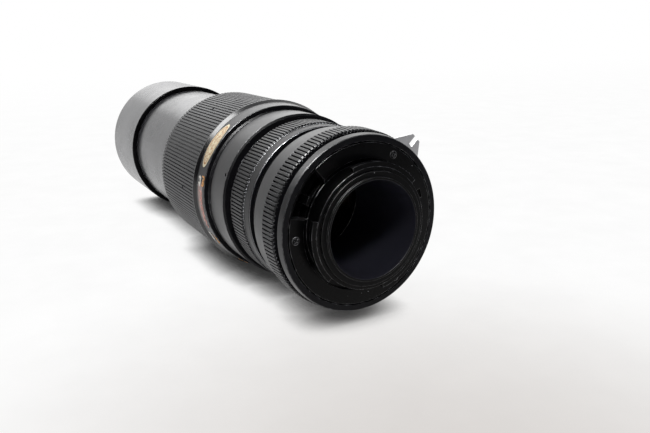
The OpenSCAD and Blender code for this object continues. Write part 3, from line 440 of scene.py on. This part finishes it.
def cotton_sheet(name, floor_z):
    """White cotton sheet under the lens, which runs out into the white of the room."""
    made, tree, shader = material(name)
    place = object_place(tree)
    ahead = add(tree, "ShaderNodeSeparateXYZ", {0: place}).outputs[1]
    mottle = add(tree, "ShaderNodeTexNoise", {"Vector": place, "Scale": 45.0, "Detail": 5.0, "Roughness": 0.6})
    # Painted shadow: the sheet is a little grey in a soft patch in front of the lens mount,
    # where the rear end of the lens casts its shade.
    away = add(tree, "ShaderNodeVectorMath", {0: place, 1: (*PAINTED_SHADOW_SPOT, floor_z)}, operation="DISTANCE")
    near = add(tree, "ShaderNodeMapRange", {"Value": away.outputs["Value"], "From Max": PAINTED_SHADOW_REACH},
               interpolation_type="SMOOTHSTEP")
    tint = add(tree, "ShaderNodeMix", {0: near, 6: linear("#dbd7d4"), 7: linear("#ffffff")}, data_type="RGBA")
    # The room is dark behind the camera, so there the sheet is painted dark for every ray but the camera's:
    # a painted shade, which the mount mirrors, though the sheet is seen white.
    rays = add(tree, "ShaderNodeLightPath")
    bright = add(tree, "ShaderNodeMapRange", {"Value": ahead, "From Min": -0.28, "From Max": -0.12},
                 interpolation_type="SMOOTHSTEP")
    sheet = add(tree, "ShaderNodeMath", {0: bright, 1: rays.outputs["Is Camera Ray"]}, operation="MAXIMUM")
    whole = add(tree, "ShaderNodeMix", {0: sheet, 6: linear("#302e2e"), 7: tint.outputs[2]}, data_type="RGBA")
    patches = add(tree, "ShaderNodeMapRange",
                  {"Value": mottle, "From Min": 0.3, "From Max": 0.7, "To Min": 0.975, "To Max": 1.005})
    shade = add(tree, "ShaderNodeVectorMath", {0: whole.outputs[2], 1: patches}, operation="MULTIPLY")
    relief = add(tree, "ShaderNodeBump", {"Height": mottle, "Strength": 0.25, "Distance": 2.0 * MM})
    link(tree, shade, shader, "Base Color")
    link(tree, relief, shader, "Normal")
    shader.inputs["Roughness"].default_value = 0.9
    shader.inputs["Specular IOR Level"].default_value = 0.1
    # Seen directly or mirrored, the sheet is nearly all glow, and its shadow is that glow dimmed close under the
    # lens. Far ahead it runs out into the white backdrop.
    far = add(tree, "ShaderNodeMapRange", {"Value": ahead, "From Min": 0.12, "From Max": 1.4},
              interpolation_type="SMOOTHSTEP")
    open_sky = add(tree, "ShaderNodeAmbientOcclusion", {"Distance": 14.0 * MM}, samples=12)
    lit = add(tree, "ShaderNodeMapRange",
              {"Value": open_sky.outputs["AO"], "From Min": 0.25, "From Max": 0.8, "To Min": 0.03, "To Max": 1.0})
    lifted = add(tree, "ShaderNodeMath", {0: lit, 1: far}, operation="MAXIMUM")
    near_white = add(tree, "ShaderNodeMapRange", {"Value": far, "To Min": 0.95, "To Max": 1.0})
    kept = add(tree, "ShaderNodeMath", {0: near_white, 1: sheet}, operation="MULTIPLY")
    seen = add(tree, "ShaderNodeMath", {0: kept, 1: seen_ray(tree)}, operation="MULTIPLY")
    pale = add(tree, "ShaderNodeMix", {0: far, 6: shade.outputs[0], 7: linear("#ffffff")}, data_type="RGBA")
    glow = add(tree, "ShaderNodeEmission", {"Color": pale.outputs[2], "Strength": lifted})
    mixed = add(tree, "ShaderNodeMixShader", {0: seen, 1: shader.outputs["BSDF"], 2: glow})
    tree.links.new(mixed.outputs[0], tree.nodes["Material Output"].inputs["Surface"])
    return made


def white_room(name):
    """A room that is white ahead of the lens, dimmer to the left, dark behind the camera, and faintly blue behind it
    to the right."""
    made = bpy.data.worlds.new(name)
    made.use_nodes = True
    tree = made.node_tree
    tree.nodes.clear()
    way = add(tree, "ShaderNodeTexCoord").outputs["Generated"]
    parts = add(tree, "ShaderNodeSeparateXYZ", {0: way})
    ahead = add(tree, "ShaderNodeMapRange",
                {"Value": parts.outputs[1], "From Min": -0.3, "From Max": 0.5, "To Max": 1.0},
                interpolation_type="SMOOTHSTEP")
    sides = add(tree, "ShaderNodeMapRange",
                {"Value": parts.outputs[0], "From Min": -0.85, "From Max": -0.3, "To Min": 0.1, "To Max": 1.0},
                interpolation_type="SMOOTHSTEP")
    front = add(tree, "ShaderNodeMath", {0: ahead, 1: sides}, operation="MULTIPLY")
    right = add(tree, "ShaderNodeMapRange",
                {"Value": parts.outputs[0], "From Min": 0.2, "From Max": 0.8, "To Min": 0.02, "To Max": 0.3})
    level = add(tree, "ShaderNodeMath", {0: front, 1: right}, operation="MAXIMUM")
    tone = add(tree, "ShaderNodeMix", {0: ahead, 6: linear("#a4a8c4"), 7: linear("#ffffff")}, data_type="RGBA")
    # The camera sees the room plain white, and what only lights a surface comes from ahead.
    rays = add(tree, "ShaderNodeLightPath")
    white = add(tree, "ShaderNodeMath", {0: level, 1: rays.outputs["Is Camera Ray"]}, operation="MAXIMUM")
    dim = add(tree, "ShaderNodeMapRange", {"Value": ahead, "To Min": 0.12, "To Max": 0.95})
    strength = add(tree, "ShaderNodeMix", {0: seen_ray(tree), 2: dim, 3: white}, data_type="FLOAT")
    plain = add(tree, "ShaderNodeMath", {0: rays.outputs["Is Camera Ray"], 1: rays.outputs["Is Diffuse Ray"]},
                operation="MAXIMUM")
    colour = add(tree, "ShaderNodeMix", {0: plain, 6: tone.outputs[2], 7: linear("#ffffff")}, data_type="RGBA")
    glow = add(tree, "ShaderNodeBackground", {"Color": colour.outputs[2], "Strength": strength})
    add(tree, "ShaderNodeOutputWorld", {"Surface": glow})
    return made


class LensLooks(bpy.types.PropertyGroup):
    anodised: bpy.props.StringProperty(
        name="Anodised black", description="Colour of the turned rings", default="#17171a")
    lacquer: bpy.props.StringProperty(
        name="Lacquer black", description="Colour of the dull inner pieces", default="#060607")
    satin: bpy.props.FloatProperty(
        name="Satin", description="Roughness of the turned rings",
        default=0.33, min=0.1, max=0.8, subtype="FACTOR")
    wear: bpy.props.FloatProperty(
        name="Wear", description="How much sharp edges have lost their black",
        default=0.8, min=0, max=1, subtype="FACTOR")


class LensSizes(bpy.types.PropertyGroup):
    sticker_clock: bpy.props.FloatProperty(
        name="Sticker clock",
        description="Place of the sticker round the lens, clockwise from the top, seen from behind",
        default=math.radians(-53.5), unit="ROTATION")
    sticker_length: bpy.props.FloatProperty(
        name="Sticker length", description="Length of the oval round the ring", default=20.4 * MM, unit="LENGTH")
    sticker_width: bpy.props.FloatProperty(
        name="Sticker width", description="Width of the oval along the lens", default=5.9 * MM, unit="LENGTH")
    number_height: bpy.props.FloatProperty(
        name="Number height", description="Height of the distance numbers", default=3.1 * MM, unit="LENGTH")
    stop_height: bpy.props.FloatProperty(
        name="Stop height", description="Height of the aperture numbers", default=2.2 * MM, unit="LENGTH")
    paint_rise: bpy.props.FloatProperty(
        name="Paint rise", description="How far the paint stands out of the ring", default=0.03 * MM, unit="LENGTH")


def round_the_lens(clock, radius, along):
    """The turn and place of a piece drawn flat, facing +Z with +Y forward, at a clock angle on a ring."""
    out = Vector((math.sin(clock), 0.0, math.cos(clock)))
    beside = Vector((math.cos(clock), 0.0, -math.sin(clock)))
    turn = Matrix((beside, Vector((0, 1, 0)), out)).transposed().to_4x4()
    return Matrix.Translation(out * radius + Vector((0, along, 0))) @ turn


def settle(piece, name, finish, body):
    """Names a finished piece, puts its place into its mesh, and makes it ride on its body."""
    piece.name = name
    piece.data.name = name
    bpy.ops.object.select_all(action="DESELECT")
    piece.select_set(True)
    bpy.context.view_layer.objects.active = piece
    bpy.ops.object.transform_apply(location=True, rotation=True, scale=True)
    piece.data.materials.clear()
    piece.data.materials.append(finish)
    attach(piece, body)


def ring_radius(node, clock, along):
    """The outer radius of a node at a clock angle and a place along the axis."""
    out = Vector((math.sin(clock), 0.0, math.cos(clock)))
    start = out * OUTSIDE_THE_LENS + Vector((0.0, along, 0.0))
    hit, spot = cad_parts[node].ray_cast(start, -out)[:2]
    if not hit:
        raise ValueError("no surface of %s at %.4f along the axis" % (node, along))
    return math.hypot(spot.x, spot.z)


class LENS_OT_turned_rings(bpy.types.Operator):
    """Finishes the turned and anodised rings and barrels"""

    bl_idname = "lens.turned_rings"
    bl_label = "Turned rings"

    def execute(self, context):
        looks = context.scene.lens_looks
        # The fluted rings are a little rougher than the rest, and the barrel and hood a little smoother.
        fluted, smooth = looks.satin + 0.04, looks.satin - 0.1
        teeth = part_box("lock_collar")[0].y + COLLAR_TEETH
        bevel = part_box("focus_ring")[0].y + FOCUS_BEVEL
        hood_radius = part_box("lens_hood")[1].x
        dress(["flange_ring", "main_barrel", "focus_front_ring"],
              anodised_aluminium("black_anodised_aluminium", looks.anodised, looks.satin, looks.wear))
        dress(["aperture_ring"],
              anodised_aluminium("black_anodised_aperture_ring", looks.anodised, fluted, looks.wear * 0.5,
                                 level=0.35))
        dress(["lock_collar"],
              anodised_aluminium("black_anodised_collar", looks.anodised, fluted, looks.wear * 0.25,
                                 level=0.31, chipped=teeth))
        dress(["focus_ring"],
              anodised_aluminium("black_anodised_focus_ring", looks.anodised, looks.satin, looks.wear,
                                 level=0.5, polished=bevel, rubbed=FILM_CLOCK))
        # The barrel and filter ring get a grey paler than their black: a painted sheen for the white room that they
        # mirror.
        dress(["front_barrel", "filter_ring"],
              anodised_aluminium("black_anodised_barrel", "#3b3b3e", smooth, looks.wear * 0.5, level=0.8))
        # The hood's grey, far paler than its black, is a painted sheen for the white room that it mirrors.
        dress(["lens_hood"],
              anodised_aluminium("black_anodised_hood", "#4e4e51", smooth, wear=0.0,
                                 level=0.9, sheen_and_shade_radius=hood_radius))
        return {"FINISHED"}


class LENS_OT_dull_pieces(bpy.types.Operator):
    """Finishes the mount's back and the dull black inner pieces"""

    bl_idname = "lens.dull_pieces"
    bl_label = "Dull black pieces"

    def execute(self, context):
        looks = context.scene.lens_looks
        dress(["bayonet_ring", "back_plate", "stop_down_lever"],
              matt_lacquer("black_mount_lacquer", looks.lacquer, rough=0.3, wear=looks.wear * 0.8))
        dress(["baffle_tube"],
              matt_lacquer("black_baffle_paint_with_painted_glow", looks.lacquer, rough=0.42, wear=0.3, inside="#2c2c36"))
        dress(["mount_body", "rear_cell", "rear_cell_ring", "lever_retainer", "iris_housing", "iris_cover",
               "front_cell", "element_spacer", "front_retaining_ring"],
              matt_lacquer("matt_black_lacquer", looks.lacquer, rough=0.5, wear=0.3))
        dress(["plate_screws", "neck_screws"],
              matt_lacquer("blackened_screw_steel", "#151517", rough=0.38, wear=1.0))
        dress(["hood_felt"], wool_felt("black_wool_felt"))
        return {"FINISHED"}


class LENS_OT_grip(bpy.types.Operator):
    """Finishes the ribbed rubber grip"""

    bl_idname = "lens.grip"
    bl_label = "Rubber grip"

    def execute(self, context):
        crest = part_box("focus_grip")[1].z
        dress(["focus_grip"], grip_rubber("moulded_nitrile_rubber", crest, crest - RIB_DEPTH))
        return {"FINISHED"}


class LENS_OT_bright_metal(bpy.types.Operator):
    """Finishes the prong, the helicoid, the keys, the springs and the iris"""

    bl_idname = "lens.bright_metal"
    bl_label = "Bright metal"

    def execute(self, context):
        dress(["coupling_prong", "prong_screws"],
              plain_metal("satin_chromed_steel", "#cfcfcf", "#b0b0b0", rough=0.38))
        dress(["focus_helicoid", "helicoid_keys", "iris_drive_ring"],
              plain_metal("turned_brass", "#c9a35c", "#94743c", rough=0.3))
        dress(["guide_tube"], plain_metal("turned_bare_aluminium", "#b9babc", "#8f9092", rough=0.32))
        blades = ["iris_blade_%d" % i for i in range(1, 9)]
        dress(blades + ["click_ball", "click_spring", "lever_spring", "key_screws", "iris_rod"],
              plain_metal("blued_spring_steel", "#6c6e74", "#4c4e54", rough=0.3))
        return {"FINISHED"}


class LENS_OT_glass(bpy.types.Operator):
    """Finishes the five glass elements"""

    bl_idname = "lens.glass"
    bl_label = "Coated glass"

    def execute(self, context):
        dress(["front_element", "second_element", "third_element"],
              coated_glass("violet_coated_crown_glass", "#f4f6fb", coat_nm=120.0))
        dress(["rear_element", "rear_inner_element"],
              coated_glass("amber_coated_flint_glass", "#f6f4ee", coat_nm=95.0))
        return {"FINISHED"}


class LENS_OT_sticker(bpy.types.Operator):
    """Lays the bare oval foil sticker on the focus ring"""

    bl_idname = "lens.sticker"
    bl_label = "Foil sticker"

    def execute(self, context):
        sizes = context.scene.lens_sizes
        low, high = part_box("focus_ring")
        middle = low.y + MIDDLE_ROW
        half_length, half_width = sizes.sticker_length / 2, sizes.sticker_width / 2
        bpy.ops.object.select_all(action="DESELECT")
        bpy.ops.mesh.primitive_circle_add(vertices=72, radius=1.0, fill_type="TRIFAN")
        sticker = context.object
        bpy.ops.object.mode_set(mode="EDIT")
        bpy.ops.mesh.subdivide(number_cuts=7)
        bpy.ops.object.mode_set(mode="OBJECT")
        sticker.scale = (half_length, half_width, 1.0)
        bpy.ops.object.transform_apply(location=False, rotation=False, scale=True)
        # Held flat just above the ring, then pressed onto it.
        sticker.matrix_world = round_the_lens(sizes.sticker_clock, high.z + 2 * MM, middle)
        wrap = sticker.modifiers.new("wrap", "SHRINKWRAP")
        wrap.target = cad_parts["focus_ring"]
        wrap.wrap_method = "PROJECT"
        wrap.use_project_z = True
        wrap.use_negative_direction = True
        wrap.use_positive_direction = False
        wrap.offset = FOIL_CLEARANCE
        foil = sticker.modifiers.new("foil", "SOLIDIFY")
        foil.thickness = FOIL_THICKNESS
        foil.offset = 1.0
        for modifier in ("wrap", "foil"):
            bpy.ops.object.modifier_apply(modifier=modifier)
        bpy.ops.object.mode_set(mode="EDIT")
        bpy.ops.mesh.select_all(action="SELECT")
        bpy.ops.mesh.normals_make_consistent(inside=False)
        bpy.ops.object.mode_set(mode="OBJECT")
        bpy.ops.object.shade_smooth_by_angle(angle=SMOOTH_BELOW)
        finish = gold_foil("gold_foil", sizes.sticker_clock, middle, half_length, half_width)
        settle(sticker, "foil_sticker", finish, "focus_ring")
        return {"FINISHED"}


def stand_numbers(name, numbers, ring, along, height, finish):
    """Sets numbers round a ring, each given as its figures and its clock angle in degrees, as one piece."""
    rise = bpy.context.scene.lens_sizes.paint_rise
    made = []
    for figures, degrees in numbers:
        bpy.ops.object.select_all(action="DESELECT")
        bpy.ops.object.text_add()
        number = bpy.context.object
        number.data.body = figures
        number.data.size = height / NUMERAL_SHARE
        number.data.align_x = "CENTER"
        number.data.align_y = "CENTER"
        number.data.resolution_u = 3
        number.data.offset = height * STROKE_SHARE
        number.data.extrude = PAINT_DEPTH
        bpy.ops.object.convert(target="MESH")
        clock = math.radians(degrees)
        radius = ring_radius(ring, clock, along) + rise - PAINT_DEPTH
        number.matrix_world = round_the_lens(clock, radius, along)
        made.append(number)
    bpy.ops.object.select_all(action="DESELECT")
    for number in made:
        number.select_set(True)
    bpy.context.view_layer.objects.active = made[0]
    bpy.ops.object.join()
    settle(made[0], name, finish, ring)


class LENS_OT_numbers(bpy.types.Operator):
    """Fills in the plain numbers of the distance and aperture scales"""

    bl_idname = "lens.numbers"
    bl_label = "Dial numbers"

    def execute(self, context):
        sizes = context.scene.lens_sizes
        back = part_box("focus_ring")[0].y
        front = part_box("aperture_ring")[1].y
        white = enamel("white_enamel", "#efece4")
        orange = enamel("orange_enamel", "#d8964c")
        red = enamel("red_enamel", "#cf9489")
        metres = (("25", -79.5), ("20", -120.0), ("15", -150.0), ("12", 178.0), ("10", 150.0), ("8", 124.0),
                  ("7", 100.0))
        feet = (("80", -79.0), ("60", -122.0), ("50", -148.0), ("40", 180.0), ("30", 152.0), ("25", 126.0),
                ("20", 102.0))
        reds = (("60", -89.0), ("50", -95.5), ("40", -102.0), ("35", -108.5))
        stops = (("4.5", 30.0), ("5.6", 45.0), ("8", 57.0), ("11", 69.0), ("16", 81.0), ("22", 93.0))
        for name, numbers, row, finish in (("distance_numbers_white", metres, METRES_ROW, white),
                                           ("distance_numbers_orange", feet, FEET_ROW, orange),
                                           ("distance_numbers_red", reds, MIDDLE_ROW, red)):
            stand_numbers(name, numbers, "focus_ring", back + row, sizes.number_height, finish)
        stand_numbers("aperture_numbers", stops, "aperture_ring", front - STOPS_ROW, sizes.stop_height, white)
        return {"FINISHED"}


def hang_lamp(name, place, target, wide, tall, power, only_gloss=False):
    """Hangs a soft lamp. One that shows only in glossy surfaces adds the sparkle of a small bright bulb and no light
    of its own."""
    lamp = bpy.data.objects.new(name, bpy.data.lights.new(name, "AREA"))
    bpy.context.scene.collection.objects.link(lamp)
    lamp.data.shape = "RECTANGLE"
    lamp.data.size, lamp.data.size_y = wide, tall
    lamp.data.energy = power
    lamp.location = place
    lamp.rotation_euler = (Vector(target) - Vector(place)).to_track_quat("-Z", "Z").to_euler()
    lamp.visible_camera = False
    lamp.visible_diffuse = not only_gloss


class LENS_OT_studio(bpy.types.Operator):
    """Sets up the pale floor, the soft light and the camera"""

    bl_idname = "lens.studio"
    bl_label = "Studio"

    def execute(self, context):
        scene = context.scene
        scene.view_settings.view_transform = "Standard"
        floor_z = cad_box[0].z
        bpy.ops.object.select_all(action="DESELECT")
        bpy.ops.mesh.primitive_plane_add(size=FLOOR_SIZE, location=(0, FLOOR_AHEAD, floor_z))
        floor = context.object
        floor.name = "studio_floor"
        bpy.ops.object.transform_apply(location=True)
        floor.data.materials.append(cotton_sheet("white_cotton_sheet", floor_z))

        scene.world = white_room("white_room")
        middle, mount = (0.0, 0.05, 0.0), (0.0, 0.0, 0.0)
        hang_lamp("window_ahead", (0.58, 1.845, 1.133), middle, wide=1.7, tall=1.5, power=11.0)
        hang_lamp("lamp_left", (-0.66, 0.49, 1.21), middle, wide=0.8, tall=0.8, power=34.0, only_gloss=True)
        hang_lamp("lamp_behind", (-0.28, -0.62, 1.0), mount, wide=0.2, tall=0.2, power=4.5)
        hang_lamp("bulb_behind", (-0.36, -0.62, 0.95), mount, wide=0.3, tall=0.3, power=36.0, only_gloss=True)

        camera = bpy.data.objects.new("photo_camera", bpy.data.cameras.new("photo_camera"))
        scene.collection.objects.link(camera)
        camera.data.lens = CAMERA_LENS
        camera.data.sensor_width = CAMERA_SENSOR
        camera.data.sensor_fit = "HORIZONTAL"
        camera.data.clip_start, camera.data.clip_end = 0.01, 50.0
        ahead = Vector(CAMERA_AHEAD).normalized()
        up = Vector(CAMERA_RIGHT).normalized().cross(ahead).normalized()
        turn = Matrix((ahead.cross(up), up, -ahead)).transposed().to_4x4()
        camera.matrix_world = Matrix.Translation(CAMERA_PLACE) @ turn
        scene.camera = camera
        return {"FINISHED"}


class LENS_PT_finishes(bpy.types.Panel):
    bl_label = "Lens finishes"
    bl_space_type = "VIEW_3D"
    bl_region_type = "UI"
    bl_category = "Lens"

    def draw(self, context):
        for group in (context.scene.lens_looks, context.scene.lens_sizes):
            for name in group.__annotations__:
                self.layout.prop(group, name)
        for step in STEPS:
            self.layout.operator(step.bl_idname)


STEPS = (LENS_OT_studio, LENS_OT_turned_rings, LENS_OT_dull_pieces, LENS_OT_grip, LENS_OT_bright_metal,
         LENS_OT_glass, LENS_OT_sticker, LENS_OT_numbers)
CLASSES = (LensLooks, LensSizes) + STEPS + (LENS_PT_finishes,)


def register():
    for made in CLASSES:
        bpy.utils.register_class(made)
    bpy.types.Scene.lens_looks = bpy.props.PointerProperty(type=LensLooks)
    bpy.types.Scene.lens_sizes = bpy.props.PointerProperty(type=LensSizes)


def unregister():
    del bpy.types.Scene.lens_sizes
    del bpy.types.Scene.lens_looks
    for made in reversed(CLASSES):
        bpy.utils.unregister_class(made)


def main():
    register()
    for step in STEPS:
        group, name = step.bl_idname.split(".")
        getattr(getattr(bpy.ops, group), name)()


if __name__ == "__main__":
    main()
